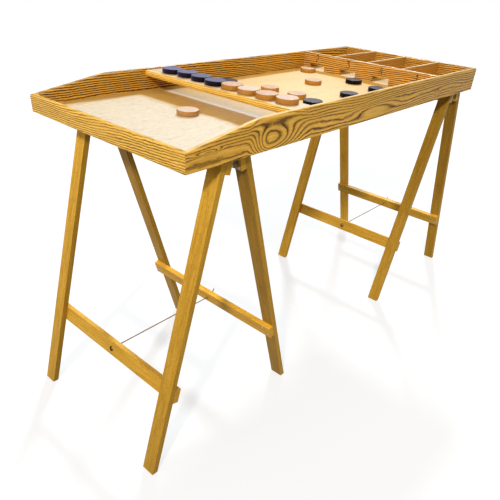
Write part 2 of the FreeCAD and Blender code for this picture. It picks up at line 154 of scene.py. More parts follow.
def addFloor():
    mesh = bpy.data.meshes.new("floor")
    half = studio["floorHalf"]
    corners = [(-half, -half, 0), (half, -half, 0), (half, half, 0), (-half, half, 0)]
    mesh.from_pydata(corners, [], [(0, 1, 2, 3)])
    floor = bpy.data.objects.new("floor", mesh)
    bpy.context.scene.collection.objects.link(floor)
    mat, tree, out = newTree("paleFloor")
    shade = studio["floorShade"]
    matt = put(tree, "ShaderNodeBsdfDiffuse", Color=(shade, shade, shade, 1))
    glow = put(tree, "ShaderNodeEmission", Color=(1, 1, 1, 1), Strength=studio["floorGlow"])
    both = put(tree, "ShaderNodeAddShader", {0: matt.outputs[0], 1: glow.outputs[0]})
    bounce = studio["floorBounce"]
    low = put(tree, "ShaderNodeBsdfDiffuse", Color=(bounce, bounce, bounce, 1))
    mixed = put(tree, "ShaderNodeMixShader",
                {0: seenDirectly(tree), 1: low.outputs[0], 2: both.outputs[0]})
    tree.links.new(mixed.outputs[0], out.inputs["Surface"])
    mesh.materials.append(mat)


# node helpers

# adds a node; a value that is an output socket is linked, any other is set
def put(tree, kind, sockets=None, **named):
    node = tree.nodes.new(kind)
    for key, value in {**(sockets or {}), **named}.items():
        if isinstance(key, str) and key not in node.inputs:
            setattr(node, key, value)
        elif isinstance(value, bpy.types.NodeSocket):
            tree.links.new(value, node.inputs[key])
        else:
            node.inputs[key].default_value = value
    return node


def calc(tree, operation, first, second=0.0):
    return put(tree, "ShaderNodeMath", {0: first, 1: second}, operation=operation).outputs[0]


def scaled(tree, vector, factors):
    return put(tree, "ShaderNodeVectorMath", {0: vector, 1: factors}, operation="MULTIPLY").outputs[0]


# noise whose features are one over the factors long, in metres
def noise(tree, vector, factors, detail=2.0, roughness=0.5):
    spread = scaled(tree, vector, factors)
    made = put(tree, "ShaderNodeTexNoise", Vector=spread, Scale=1.0, Detail=detail, Roughness=roughness)
    return made.outputs["Fac"]


def ranged(tree, value, low, high, least, most):
    found = put(tree, "ShaderNodeMapRange", {0: value, 1: low, 2: high, 3: least, 4: most}, clamp=True)
    return found.outputs[0]


def ramp(tree, value, stops):
    made = put(tree, "ShaderNodeValToRGB", {0: value})
    elements = made.color_ramp.elements
    while len(elements) < len(stops):
        elements.new(0.5)
    for element, (place, colour) in zip(elements, stops):
        element.position = place
        element.color = (*colour, 1)
    return made.outputs[0]


def blendColour(tree, share, first, second, mode="MIX"):
    mixed = put(tree, "ShaderNodeMix", data_type="RGBA", blend_type=mode)
    for socket, value in ((0, share), (6, first), (7, second)):
        if isinstance(value, bpy.types.NodeSocket):
            tree.links.new(value, mixed.inputs[socket])
        elif socket:
            mixed.inputs[socket].default_value = (*value, 1)
        else:
            mixed.inputs[socket].default_value = value
    return mixed.outputs[2]


# a colour as seen on a screen, 0 to 255, made linear
def tone(red, green, blue):
    return tuple(((c / 255 + 0.055) / 1.055) ** 2.4 for c in (red, green, blue))


def newTree(name):
    mat = bpy.data.materials.new(name)
    mat.use_nodes = True
    tree = mat.node_tree
    tree.nodes.clear()
    return mat, tree, tree.nodes.new("ShaderNodeOutputMaterial")


def newSurface(name, **sockets):
    mat, tree, out = newTree(name)
    shader = put(tree, "ShaderNodeBsdfPrincipled", sockets)
    tree.links.new(shader.outputs[0], out.inputs["Surface"])
    return mat, tree, shader


# object coordinates turned so that x runs along the plank
def plankSpace(tree, middle, turn):
    where = put(tree, "ShaderNodeTexCoord").outputs["Object"]
    turned = put(tree, "ShaderNodeMapping", vector_type="TEXTURE", Vector=where)
    turned.inputs["Location"].default_value = middle
    turned.inputs["Rotation"].default_value = [math.radians(a) for a in turn]
    return turned.outputs[0]


# wood

ash = {
    "light": tone(226, 172, 76),
    "body": tone(208, 152, 52),
    "line": tone(108, 62, 14),
    "step": 0.0062,           # ring to ring
    "across": 0.6,            # how far the rings run through the plank's thickness
    "slope": 0.0,
    "sway": 0.020,            # long and short waves of the grain
    "swayScale": (3.0, 9, 9),
    "topFade": 0.5,           # how much of the rings' contrast level faces keep
    # how much lighter or darker level faces are painted: painted light or shade on their tops
    "paintedTopShade": 0.86,
    "ripple": 0.0030,
    "eyes": (),               # along, up, reach back, ahead and up, rings
    "turn": (0, 0, 0),
    "middle": (0, 0, 0),
    "coat": 0.12,
    "gloss": 0.2,
    "roughness": 0.42,
    "contrast": 1.0,
    "heavy": 0.0,             # how much wider the dark part of a ring is than usual
    "drift": (1.0, 1.0),      # brightness from one end to the other
    "shine": (1, 1, 1),       # tint of the gloss
    "bloom": 0.0,             # bluish haze at low angles
    "topHighlight": 0.0,            # how far level faces are painted toward the highlight colour, a painted highlight
    "topHighlightColour": tone(214, 180, 152),
}


# how many year rings lie between a point and the heart of the tree
def ringCount(tree, local, look):
    x, y, z = put(tree, "ShaderNodeSeparateXYZ", {0: local}).outputs
    sway = calc(tree, "SUBTRACT", noise(tree, local, look["swayScale"], 2), 0.5)
    ripple = calc(tree, "SUBTRACT", noise(tree, local, (55, 90, 90), 3, 0.6), 0.5)
    height = calc(tree, "ADD", z, calc(tree, "MULTIPLY", ripple, look["ripple"]))
    rise = calc(tree, "ADD", height, calc(tree, "MULTIPLY", x, look["slope"]))
    rise = calc(tree, "ADD", rise, calc(tree, "MULTIPLY", sway, look["sway"]))
    swirls = []
    for along, up, back, ahead, tall, rings in look["eyes"]:
        run = calc(tree, "SUBTRACT", x, along)
        before = calc(tree, "DIVIDE", calc(tree, "MINIMUM", run, 0.0), back)
        after = calc(tree, "DIVIDE", calc(tree, "MAXIMUM", run, 0.0), ahead)
        run = calc(tree, "ADD", before, after)
        lift = calc(tree, "DIVIDE", calc(tree, "SUBTRACT", height, up), tall)
        spot = put(tree, "ShaderNodeCombineXYZ", {0: run, 1: lift}).outputs[0]
        near = put(tree, "ShaderNodeVectorMath", {0: spot}, operation="LENGTH").outputs["Value"]
        swirl = put(tree, "ShaderNodeMapRange", {0: near, 1: 0.0, 2: 1.0, 3: 1.0, 4: 0.0})
        swirl.interpolation_type = "SMOOTHSTEP"
        swirls.append(calc(tree, "MULTIPLY", swirl.outputs[0], rings))
        still = ranged(tree, near, 0.35, 1.05, 1.0, 0.0)
        rise = calc(tree, "ADD", rise, calc(tree, "MULTIPLY", still, calc(tree, "SUBTRACT", up, rise)))
    depth = calc(tree, "MULTIPLY", y, look["across"])
    spot = put(tree, "ShaderNodeCombineXYZ", {0: 0.0, 1: depth, 2: rise}).outputs[0]
    away = put(tree, "ShaderNodeVectorMath", {0: spot}, operation="LENGTH").outputs["Value"]
    count = calc(tree, "DIVIDE", away, look["step"])
    for swirl in swirls:
        count = calc(tree, "ADD", count, swirl)
    return count


def grey(tree, value):
    return put(tree, "ShaderNodeCombineColor", {0: value, 1: value, 2: value}).outputs[0]


def plankWood(name, **changes):
    look = {**ash, **changes}
    mat, tree, shader = newSurface(name)
    local = plankSpace(tree, look["middle"], look["turn"])
    count = ringCount(tree, local, look)
    fuzz = calc(tree, "SUBTRACT", noise(tree, local, (110, 700, 700), 2), 0.5)
    ring = calc(tree, "FRACT", calc(tree, "ADD", count, calc(tree, "MULTIPLY", fuzz, 0.3)))
    body, light, line = look["body"], look["light"], look["line"]
    middle = tuple(0.5 * a + 0.5 * b for a, b in zip(body, line))
    heavy = look["heavy"]
    stops = [(0.0, line), (0.05 + heavy / 2, middle), (0.14 + heavy / 2, body), (0.42, light)]
    stops += [(0.64 - heavy, body), (0.78 - heavy, middle), (0.88 - heavy, line)]
    banded = ramp(tree, ring, stops)
    fade = ranged(tree, noise(tree, local, (6, 30, 30), 2), 0.36, 0.60, 0.6, 1.0)
    normal = put(tree, "ShaderNodeNewGeometry").outputs["Normal"]
    level = put(tree, "ShaderNodeSeparateXYZ", {0: normal}).outputs[2]
    marked = ranged(tree, level, 0.55, 0.85, look["contrast"], look["contrast"] * look["topFade"])
    fade = calc(tree, "MULTIPLY", fade, marked)
    colour = blendColour(tree, fade, body, banded)
    streak = ranged(tree, noise(tree, local, (14, 420, 420), 3), 0.3, 0.7, 0.80, 1.14)
    patch = ranged(tree, noise(tree, local, (3, 12, 12), 1), 0.3, 0.7, 0.92, 1.07)
    shade = calc(tree, "MULTIPLY", streak, patch)
    along = put(tree, "ShaderNodeSeparateXYZ", {0: local}).outputs[0]
    shade = calc(tree, "MULTIPLY", shade, ranged(tree, along, 0.0, 1.1, *look["drift"]))
    # painted light or shade on level faces
    shade = calc(tree, "MULTIPLY", shade, ranged(tree, level, 0.55, 0.85, 1.0, look["paintedTopShade"]))
    colour = blendColour(tree, 1.0, colour, grey(tree, shade), "MULTIPLY")
    pore = ranged(tree, noise(tree, local, (180, 2200, 2200), 1), 0.58, 0.70, 0.0, 1.0)
    early = ranged(tree, ring, 0.55, 0.95, 0.25, 1.0)
    pore = calc(tree, "MULTIPLY", pore, early)
    colour = blendColour(tree, calc(tree, "MULTIPLY", pore, 0.6), colour, line)
    # painted highlight: level faces are mixed toward a pale colour
    topHighlight = ranged(tree, level, 0.9, 0.98, 0.0, look["topHighlight"])
    colour = blendColour(tree, topHighlight, colour, look["topHighlightColour"])
    tree.links.new(colour, shader.inputs["Base Color"])
    rough = look["roughness"]
    rough = ranged(tree, noise(tree, local, (30, 200, 200), 2), 0.3, 0.7, rough - 0.06, rough + 0.08)
    tree.links.new(rough, shader.inputs["Roughness"])
    shader.inputs["Specular IOR Level"].default_value = look["gloss"]
    shader.inputs["Specular Tint"].default_value = (*look["shine"], 1)
    shader.inputs["Sheen Weight"].default_value = look["bloom"]
    shader.inputs["Sheen Tint"].default_value = (0.42, 0.40, 1.0, 1)
    shader.inputs["Coat Weight"].default_value = look["coat"]
    shader.inputs["Coat Roughness"].default_value = 0.2
    relief = calc(tree, "ADD", calc(tree, "MULTIPLY", pore, -0.8), calc(tree, "MULTIPLY", ring, -0.25))
    relief = calc(tree, "ADD", relief, calc(tree, "MULTIPLY", streak, 0.8))
    raised = put(tree, "ShaderNodeBump", Height=relief, Strength=0.35, Distance=0.0003)
    tree.links.new(raised.outputs[0], shader.inputs["Normal"])
    return mat


# the near rail's grain closes in a large eye behind the slope, with smaller ones before and behind it
railLooks = {
    "near_side_rail": {
        "middle": (-0.455, -0.262, 0.6625), "across": 0.3, "step": 0.0076,
        "sway": 0.06, "swayScale": (1.8, 14, 14), "ripple": 0.0042, "gloss": 0.1, "coat": 0.0,
        "drift": (1.22, 0.82),
        "light": tone(232, 184, 86), "body": tone(217, 163, 62), "line": tone(76, 42, 11),
        # painted highlight on its top
        "topHighlight": 0.35, "topHighlightColour": tone(255, 232, 180),
        "eyes": (
            (0.0, 0.099, 0.070, 0.14, 0.058, 4.4),
            (-0.172, 0.1035, 0.050, 0.040, 0.006, 1.2),
            (0.414, 0.0925, 0.15, 0.15, 0.026, -0.9),
            (0.785, 0.0945, 0.030, 0.026, 0.011, 2.4),
            (0.909, 0.0895, 0.026, 0.030, 0.010, 2.2),
        ),
    },
    "far_side_rail": {
        "middle": (-0.9, 0.246, 0.64), "across": 0.8, "slope": 0.02, "step": 0.0060,
        "sway": 0.034, "swayScale": (2.2, 14, 14), "ripple": 0.0042,
        "light": tone(234, 180, 76), "body": tone(214, 153, 50), "line": tone(40, 20, 3),
        "contrast": 1.3, "heavy": 0.08,
    },
    "front_rail": {
        "middle": (-0.69, 0.42, 0.66), "turn": (0, 0, 90), "slope": 0.07, "step": 0.0047,
        "sway": 0.030, "swayScale": (2.6, 14, 14), "ripple": 0.0042, "gloss": 0.1, "coat": 0.0,
        "light": tone(252, 208, 106), "body": tone(244, 188, 77), "line": tone(112, 67, 19),
        "heavy": 0.03,
    },
    "end_rail": {
        "middle": (0.62, -0.1, 0.66), "turn": (0, 0, 90), "slope": 0.03, "across": 0.3,
        "sway": 0.040, "swayScale": (2.4, 14, 14), "ripple": 0.0042,
        "light": tone(228, 174, 80), "body": tone(210, 152, 56), "line": tone(78, 44, 10),
        "contrast": 1.3, "heavy": 0.05,
    },
    "gate_bar": {
        "middle": (0.33, 0.2, 0.70), "turn": (0, 0, 90), "slope": 0.02, "step": 0.0064, "sway": 0.045,
        "light": tone(238, 180, 88), "body": tone(216, 153, 60), "line": tone(80, 44, 11),
        "contrast": 1.2, "heavy": 0.05,
        # painted highlight on its top
        "topHighlight": 0.25, "topHighlightColour": tone(250, 232, 176),
    },
    "bridge_nosing": {
        "middle": (-0.37, 0.1, 0.70), "turn": (0, 0, 90), "slope": 0.04, "step": 0.0040, "sway": 0.012,
        "light": tone(255, 214, 108), "body": tone(248, 190, 76), "line": tone(140, 88, 24),
        # painted highlight on its top
        "topHighlight": 0.3, "topHighlightColour": tone(250, 237, 203),
    },
}


def dividerLook(number):
    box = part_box("divider_%d" % number)
    return {
        "middle": (box[0].x, box[0].y - 0.02, box[0].z - 0.05 + 0.01 * number), "step": 0.0056,
        "sway": 0.034, "swayScale": (3.2, 14, 14), "ripple": 0.0042, "across": 0.3,
        "light": tone(206, 152, 66), "body": tone(184, 128, 46), "line": tone(108, 62, 16),
        # painted highlight on its top
        "topHighlight": 0.6, "topHighlightColour": tone(250, 232, 184),
    }


# the trestles are plain beech: short flecks and a faint grain

beech = {
    "light": tone(214, 166, 64),
    "body": tone(197, 146, 38),
    "fleck": tone(146, 92, 16),
    # painted shade and stain in the knot's recess
    "shadedStainedRecess": tone(48, 28, 8),
    "boreWide": 0.0134,       # the knot's recess, a little wider than it is cut
    "level": 1.35,            # how much lighter level faces are painted, a painted light on their tops
    "gloss": 0.08,
    "start": (0, 0.013, 0.4),  # where the grain is counted from, beside the plank's middle
}


# painted light and shade on each plank beside the others, for how the lamps and the board's shadow fall on it: at
# its foot, at its head, and on its near edge beside its face
plankPaintedShade = {
    "front_trestle_front_near_leg": (0.74, 1.10, 0.96),
    "front_trestle_front_far_leg": (0.80, 1.20, 0.72),
    "front_trestle_rear_near_leg": (0.56, 0.58, 1.45),
    "front_trestle_rear_far_leg": (0.62, 0.68, 1.05),
    "front_trestle_rear_stretcher": (1.1, 1.1, 1.0),
    "rear_trestle_front_near_leg": (0.86, 0.58, 1.0),
    "rear_trestle_rear_near_leg": (0.76, 0.58, 1.0),
    "rear_trestle_front_far_leg": (1.4, 1.4, 0.8),
    "rear_trestle_rear_far_leg": (1.3, 1.35, 1.0),
}


# painted shade and stain in the knot's recess: all of it, from its rim to its floor
def recessPaintedShade(tree, centre, facing):
    where = put(tree, "ShaderNodeTexCoord").outputs["Object"]
    place = put(tree, "ShaderNodeSeparateXYZ", {0: where}).outputs
    up = calc(tree, "SUBTRACT", place[2], centre.z)
    squares = calc(tree, "MULTIPLY", up, up)
    squares = calc(tree, "ADD", calc(tree, "MULTIPLY", place[1], place[1]), squares)
    radius = beech["boreWide"] / 2
    within = ranged(tree, calc(tree, "SQRT", squares), radius, radius + 0.0004, 0.9, 0.0)
    outward = calc(tree, "MULTIPLY", calc(tree, "SUBTRACT", place[0], centre.x), -facing)
    return calc(tree, "MULTIPLY", within, ranged(tree, outward, -0.003, -0.001, 0.0, 1.0))


def beechWood(name, turn, start, tones, shadedStainedRecess=None):
    mat, tree, shader = newSurface(name)
    local = plankSpace(tree, start, turn)
    drift = noise(tree, local, (3, 30, 30), 3)
    bands = calc(tree, "FRACT", calc(tree, "MULTIPLY", drift, 7.0))
    grain = ranged(tree, noise(tree, local, (9, 260, 260), 3), 0.3, 0.7, 0.0, 1.0)
    colour = blendColour(tree, grain, beech["body"], beech["light"])
    band = ranged(tree, bands, 0.6, 1.0, 0.0, 0.30)
    colour = blendColour(tree, band, colour, beech["fleck"])
    fleck = ranged(tree, noise(tree, local, (200, 720, 720), 1), 0.58, 0.68, 0.0, 0.55)
    colour = blendColour(tree, fleck, colour, beech["fleck"])
    patch = ranged(tree, noise(tree, local, (4, 9, 9), 1), 0.3, 0.7, 0.93, 1.06)
    along = put(tree, "ShaderNodeSeparateXYZ", {0: local}).outputs[0]
    foot, head, side = tones
    # painted shade from the plank's foot to its head
    patch = calc(tree, "MULTIPLY", patch, ranged(tree, along, -0.75, -0.05, foot, head))
    normal = put(tree, "ShaderNodeNewGeometry").outputs["Normal"]
    aside, level = put(tree, "ShaderNodeSeparateXYZ", {0: normal}).outputs[1:]
    # painted light or shade on faces that look to -Y
    patch = calc(tree, "MULTIPLY", patch, ranged(tree, aside, -0.92, -0.75, side, 1.0))
    # painted light on level faces
    patch = calc(tree, "MULTIPLY", patch, ranged(tree, level, 0.75, 0.92, 1.0, beech["level"]))
    colour = blendColour(tree, 1.0, colour, grey(tree, patch), "MULTIPLY")
    # painted shade and stain in the stretcher's recess
    if shadedStainedRecess:
        colour = blendColour(tree, recessPaintedShade(tree, *shadedStainedRecess), colour, beech["shadedStainedRecess"])
    tree.links.new(colour, shader.inputs["Base Color"])
    rough = ranged(tree, grain, 0.0, 1.0, 0.48, 0.40)
    tree.links.new(rough, shader.inputs["Roughness"])
    shader.inputs["Specular IOR Level"].default_value = beech["gloss"]
    relief = calc(tree, "SUBTRACT", grain, fleck)
    raised = put(tree, "ShaderNodeBump", Height=relief, Strength=0.3, Distance=0.0002)
    tree.links.new(raised.outputs[0], shader.inputs["Normal"])
    return mat


# the playing panel and the shelf are birch plywood under varnish

birch = {
    "pale": tone(228, 182, 96),
    "warm": tone(216, 166, 78),
    "figure": tone(158, 104, 36),
    # a painted highlight: the pale colour painted where the window's glare lies on the panel
    "paintedGlare": tone(222, 205, 178),
    "shine": (0.30, 0.82, 1.0),
    "veneer": 0.0032,         # two layers of the plywood
    "paintedFrontShade": 0.82,             # how dark the panel is painted in front of the bridge, a painted shade
    "paintedFrontShadeEnd": (-0.41, -0.39),
}
shelfTones = {"pale": tone(208, 176, 136), "warm": tone(198, 162, 114)}


# a painted highlight: in front of and under the bridge the panel is painted pale for the window's glare, up to the
# edges of the shadows that the bridge and the far rail cast: the places where it begins or ends along the panel
# and across it
paintedGlare = {
    "ragged": 0.016,
    "farSide": (0.150, 0.172), "nearSide": (-0.31, -0.24), "frontEnd": (-0.535, -0.508),
    "underStart": (-0.446, -0.432), "underEnd": (-0.42, -0.39),
}


# paints the window's glare as a pale patch, a painted highlight
def paintedGlarePatch(tree, x, y, cloud):
    ragged = calc(tree, "MULTIPLY", calc(tree, "SUBTRACT", cloud, 0.5), paintedGlare["ragged"])
    along = calc(tree, "ADD", x, ragged)
    across = calc(tree, "ADD", y, ragged)
    sides = calc(tree, "MULTIPLY", ranged(tree, across, *paintedGlare["farSide"], 0.9, 0.0),
                 ranged(tree, across, *paintedGlare["nearSide"], 0.5, 1.0))
    front = ranged(tree, along, *paintedGlare["frontEnd"], 1.0, 0.0)
    under = calc(tree, "MULTIPLY", ranged(tree, along, *paintedGlare["underStart"], 0.0, 0.7),
                 ranged(tree, x, *paintedGlare["underEnd"], 1.0, 0.0))
    return calc(tree, "MULTIPLY", sides, calc(tree, "ADD", front, under))


def birchPly(name, turn, gloss, roughness, tones=birch):
    mat, tree, shader = newSurface(name)
    local = plankSpace(tree, (0.1, 0.05, 0.0), turn)
    wander = noise(tree, local, (2.2, 7.5, 0.6), 4, 0.55)
    contour = calc(tree, "FRACT", calc(tree, "MULTIPLY", wander, 17.0))
    line = put(tree, "ShaderNodeMapRange", {0: contour, 1: 0.72, 2: 0.97, 3: 0.0, 4: 1.0})
    line.interpolation_type = "SMOOTHSTEP"
    broken = ranged(tree, noise(tree, local, (26, 60, 3), 3), 0.36, 0.66, 0.02, 0.26)
    faint = calc(tree, "MULTIPLY", line.outputs[0], broken)
    cloud = ranged(tree, noise(tree, local, (5, 16, 1), 3), 0.3, 0.7, 0.0, 1.0)
    colour = blendColour(tree, cloud, tones["pale"], tones["warm"])
    x, y, z = put(tree, "ShaderNodeSeparateXYZ", {0: local}).outputs
    if tones is birch:
        # painted shade: the panel is painted darker in front of the bridge, for the shadows that fall there
        paintedFrontShade = ranged(tree, x, *birch["paintedFrontShadeEnd"], birch["paintedFrontShade"], 1.0)
        colour = blendColour(tree, 1.0, colour, grey(tree, paintedFrontShade), "MULTIPLY")
        # painted highlight: the window's glare, painted pale where it lights the panel
        colour = blendColour(tree, paintedGlarePatch(tree, x, y, cloud), colour, birch["paintedGlare"])
    colour = blendColour(tree, faint, colour, birch["figure"])
    hair = ranged(tree, noise(tree, local, (60, 900, 30), 2), 0.35, 0.7, 1.03, 0.93)
    mottle = ranged(tree, noise(tree, local, (90, 170, 3), 3, 0.6), 0.3, 0.7, 0.90, 1.07)
    hair = calc(tree, "MULTIPLY", hair, mottle)
    colour = blendColour(tree, 1.0, colour, grey(tree, hair), "MULTIPLY")
    ply = calc(tree, "FRACT", calc(tree, "DIVIDE", z, birch["veneer"]))
    dark = ranged(tree, ply, 0.48, 0.52, 0.0, 0.8)
    upright = put(tree, "ShaderNodeNewGeometry").outputs["Normal"]
    facing = calc(tree, "ABSOLUTE", put(tree, "ShaderNodeSeparateXYZ", {0: upright}).outputs[2])
    edge = ranged(tree, facing, 0.3, 0.6, 1.0, 0.0)
    colour = blendColour(tree, calc(tree, "MULTIPLY", dark, edge), colour, birch["figure"])
    tree.links.new(colour, shader.inputs["Base Color"])
    rough = ranged(tree, cloud, 0.0, 1.0, roughness, roughness + 0.06)
    tree.links.new(rough, shader.inputs["Roughness"])
    shader.inputs["Specular IOR Level"].default_value = gloss
    shader.inputs["Specular Tint"].default_value = (*birch["shine"], 1)
    raised = put(tree, "ShaderNodeBump", Height=hair, Strength=0.12, Distance=0.0002)
    tree.links.new(raised.outputs[0], shader.inputs["Normal"])
    return mat


# discs

discLooks = {
    "light": {
        "light": tone(198, 142, 54), "body": tone(182, 120, 30), "line": tone(140, 80, 16),
        # painted light and a painted highlight on the light discs' flats
        "paintedTopShade": 1.1, "topHighlight": 0.2, "step": 0.0034, "coat": 0.0, "gloss": 1.0, "roughness": 0.38,
        "contrast": 0.3, "shine": (0.4, 0.8, 1.0),
    },
    "dark": {
        "light": tone(24, 13, 9), "body": tone(15, 7, 5), "line": tone(8, 4, 3),
        "step": 0.0034, "coat": 0.0, "gloss": 0.12, "roughness": 0.34,
        "shine": (0.52, 0.5, 1.0), "bloom": 0.19,
    },
}

# discs that differ from the others of their colour: with more or less painted highlight on their flats, duller, or
# catching the window's light
discChanges = {
    "light_disc_9": {"topHighlight": 0.75},
    "light_disc_1": {"gloss": 0.75},
    "light_disc_3": {"topHighlight": 0.4, "gloss": 0.8},
    "light_disc_2": {"topHighlight": 0.0, "gloss": 0.6},
    "light_disc_4": {"topHighlight": 0.0, "gloss": 0.6},
    "dark_disc_8": {"bloom": 0.36, "gloss": 0.19},
    "dark_disc_7": {"bloom": 0.34, "gloss": 0.19},
    "dark_disc_6": {"bloom": 0.25, "gloss": 0.15},
    "dark_disc_5": {"bloom": 0.25, "gloss": 0.15},
}
for number in (11, 12, 14, 18):
    discChanges["light_disc_%d" % number] = {"topHighlight": 0.1, "gloss": 0.5}
for number in (10, 13, 15, 16, 17, 19):
    discChanges["dark_disc_%d" % number] = {"bloom": 0.06, "shine": (0.60, 0.47, 0.34)}

# their edges, the waves of their rings, and how far the heart of the tree lies from their middles
turning = {
    "seed": 7, "ease": 0.0016, "sway": 0.006,
    "along": (-0.06, 0.06), "aside": (0.02, 0.05), "below": 0.04,
}


# steel and rope, with two tones for each use

metalTones = {
    # the hinge's dark brown tones are a painted shade, for the shadowed gap between the top rails
    "hinge": (tone(66, 58, 48), tone(40, 34, 27)),
    "screw": (tone(156, 162, 172), tone(108, 112, 118)),
}
fibreTones = {
    "rope": (tone(98, 66, 20), tone(170, 126, 56)),
    "knot": (tone(140, 108, 58), tone(210, 180, 126)),
}


def steel(name, fresh, old):
    mat, tree, shader = newSurface(name, Metallic=1.0)
    where = put(tree, "ShaderNodeTexCoord").outputs["Object"]
    brushed = noise(tree, where, (300, 2600, 300), 2)
    worn = noise(tree, where, (90, 90, 90), 3)
    colour = blendColour(tree, ranged(tree, worn, 0.35, 0.7, 0.0, 1.0), fresh, old)
    tree.links.new(colour, shader.inputs["Base Color"])
    tree.links.new(ranged(tree, brushed, 0.3, 0.7, 0.36, 0.5), shader.inputs["Roughness"])
    raised = put(tree, "ShaderNodeBump", Height=brushed, Strength=0.2, Distance=0.0001)
    tree.links.new(raised.outputs[0], shader.inputs["Normal"])
    return mat


def ropeFibre(name, dark, pale):
    mat, tree, shader = newSurface(name, Roughness=0.85)
    where = put(tree, "ShaderNodeTexCoord").outputs["Object"]
    fibre = noise(tree, where, (500, 2600, 2600), 3)
    colour = blendColour(tree, ranged(tree, fibre, 0.3, 0.7, 0.0, 1.0), dark, pale)
    tree.links.new(colour, shader.inputs["Base Color"])
    shader.inputs["Sheen Weight"].default_value = 0.1
    raised = put(tree, "ShaderNodeBump", Height=fibre, Strength=0.6, Distance=0.0003)
    tree.links.new(raised.outputs[0], shader.inputs["Normal"])
    return mat


def numberInk(name):
    mat, tree, shader = newSurface(name)
    where = put(tree, "ShaderNodeTexCoord").outputs["Object"]
    worn = ranged(tree, noise(tree, where, (700, 700, 700), 2), 0.55, 0.75, 0.0, 0.35)
    colour = blendColour(tree, worn, tone(16, 10, 8), tone(70, 44, 22))
    tree.links.new(colour, shader.inputs["Base Color"])
    tree.links.new(ranged(tree, worn, 0.0, 0.35, 0.5, 0.7), shader.inputs["Roughness"])
    return mat


# pieces

def show(name, mesh, mat, body):
    mesh.materials.clear()
    mesh.materials.append(mat)
    piece = bpy.data.objects.new(name, mesh)
    bpy.context.scene.collection.objects.link(piece)
    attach(piece, body)
    return piece


def bodyOf(node):
    bodies = frame["record"]["behaviour"]["bodies"]
    return [body for body, members in bodies.items() if node in members][0]


# how far each kind of plank's edges are sanded
eases = {"rail": 0.0007, "panel": 0.0004, "shelf": 0.0006, "beech": 0.0009}


# faces between each ring of points and the next; a ring of one point closes a turned shape's end
def joinRings(form, rings, sides):
    for below, above in zip(rings, rings[1:]):
        for n in range(sides):
            corners = [below[n % len(below)], below[(n + 1) % len(below)]]
            corners += [above[(n + 1) % len(above)], above[n % len(above)]]
            form.faces.new(list(dict.fromkeys(corners)))


def meshFrom(form, name):
    bmesh.ops.recalc_face_normals(form, faces=form.faces)
    mesh = bpy.data.meshes.new(name)
    form.to_mesh(mesh)
    form.free()
    return mesh


# the node's own shape with its sharp edges eased, as a hand-sanded plank has them
def easedPlank(node, mat, ease, name):
    form = bmesh.new()
    form.from_mesh(nodes[node].data)
    bmesh.ops.remove_doubles(form, verts=form.verts, dist=1e-6)
    bmesh.ops.dissolve_limit(form, angle_limit=math.radians(0.5), verts=form.verts, edges=form.edges)
    sharp = [e for e in form.edges if len(e.link_faces) == 2 and e.calc_face_angle() > math.radians(28)]
    bmesh.ops.bevel(form, geom=sharp, offset=ease, segments=3, profile=0.5, affect="EDGES",
                    clamp_overlap=True)
    mesh = bpy.data.meshes.new(name)
    form.to_mesh(mesh)
    form.free()
    mesh.shade_smooth()
    mesh.set_sharp_from_angle(angle=math.radians(24))
    piece = show(name, mesh, mat, bodyOf(node))
    weigh = piece.modifiers.new("weigh", "WEIGHTED_NORMAL")
    weigh.keep_sharp = True
    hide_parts(node)
    return piece


def makeBoard():
    for node, look in railLooks.items():
        easedPlank(node, plankWood(node.replace("_", " "), **look), eases["rail"], node + "Wood")
    for number in (1, 2, 3):
        node = "divider_%d" % number
        easedPlank(node, plankWood(node, **dividerLook(number)), eases["rail"], node + "Wood")
    ply = birchPly("panel birch", (0, 0, 0), 0.3, 0.40)
    easedPlank("playing_panel", ply, eases["panel"], "playingPanelWood")
    ply = birchPly("shelf birch", (0, 0, 90), 0.4, 0.42, shelfTones)
    easedPlank("bridge_shelf", ply, eases["shelf"], "bridgeShelfWood")
    print("board made")


# a turned disc: rounded edges, and flat faces
def discMesh(name, middle, low, thick, wide, ease, spin):
    sides = 96
    outline = [(0.0, 0.0)]
    for share in (0.35, 0.7, 0.9):
        outline.append((share * (wide / 2 - ease), 0.0))
    for step in range(6):
        angle = math.radians(90 * step / 5)
        outline.append((wide / 2 - ease + ease * math.sin(angle), ease - ease * math.cos(angle)))
    whole = outline + [(radius, thick - height) for radius, height in reversed(outline)]
    form = bmesh.new()
    rings = []
    for radius, height in whole:
        if radius == 0:
            rings.append([form.verts.new((middle.x, middle.y, low + height))])
            continue
        ring = []
        for n in range(sides):
            angle = 2 * math.pi * n / sides + spin
            x, y = middle.x + radius * math.cos(angle), middle.y + radius * math.sin(angle)
            ring.append(form.verts.new((x, y, low + height)))
        rings.append(ring)
    joinRings(form, rings, sides)
    mesh = meshFrom(form, name)
    mesh.shade_smooth()
    mesh.set_sharp_from_angle(angle=math.radians(40))
    return mesh


def makeDiscs():
    chance = random.Random(turning["seed"])
    for node in sorted(n for n in nodes if "_disc_" in n):
        low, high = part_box(node)
        wood = node.split("_")[0]
        middle = (low + high) / 2
        turn = chance.uniform(0, 360)
        x = middle.x + chance.uniform(*turning["along"])
        y = middle.y + chance.uniform(*turning["aside"])
        heart = (x, y, middle.z - turning["below"])
        look = {**discLooks[wood], "middle": heart, "turn": (0, 0, turn), "sway": turning["sway"]}
        look.update(discChanges.get(node, {}))
        mat = plankWood(node.replace("_", " "), **look)
        size, spin = high - low, math.radians(turn)
        mesh = discMesh(node + "Turned", middle, low.z, size.z, size.x, turning["ease"], spin)
        piece = show(node + "Turned", mesh, mat, node)
        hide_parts(node)
    print("discs made")


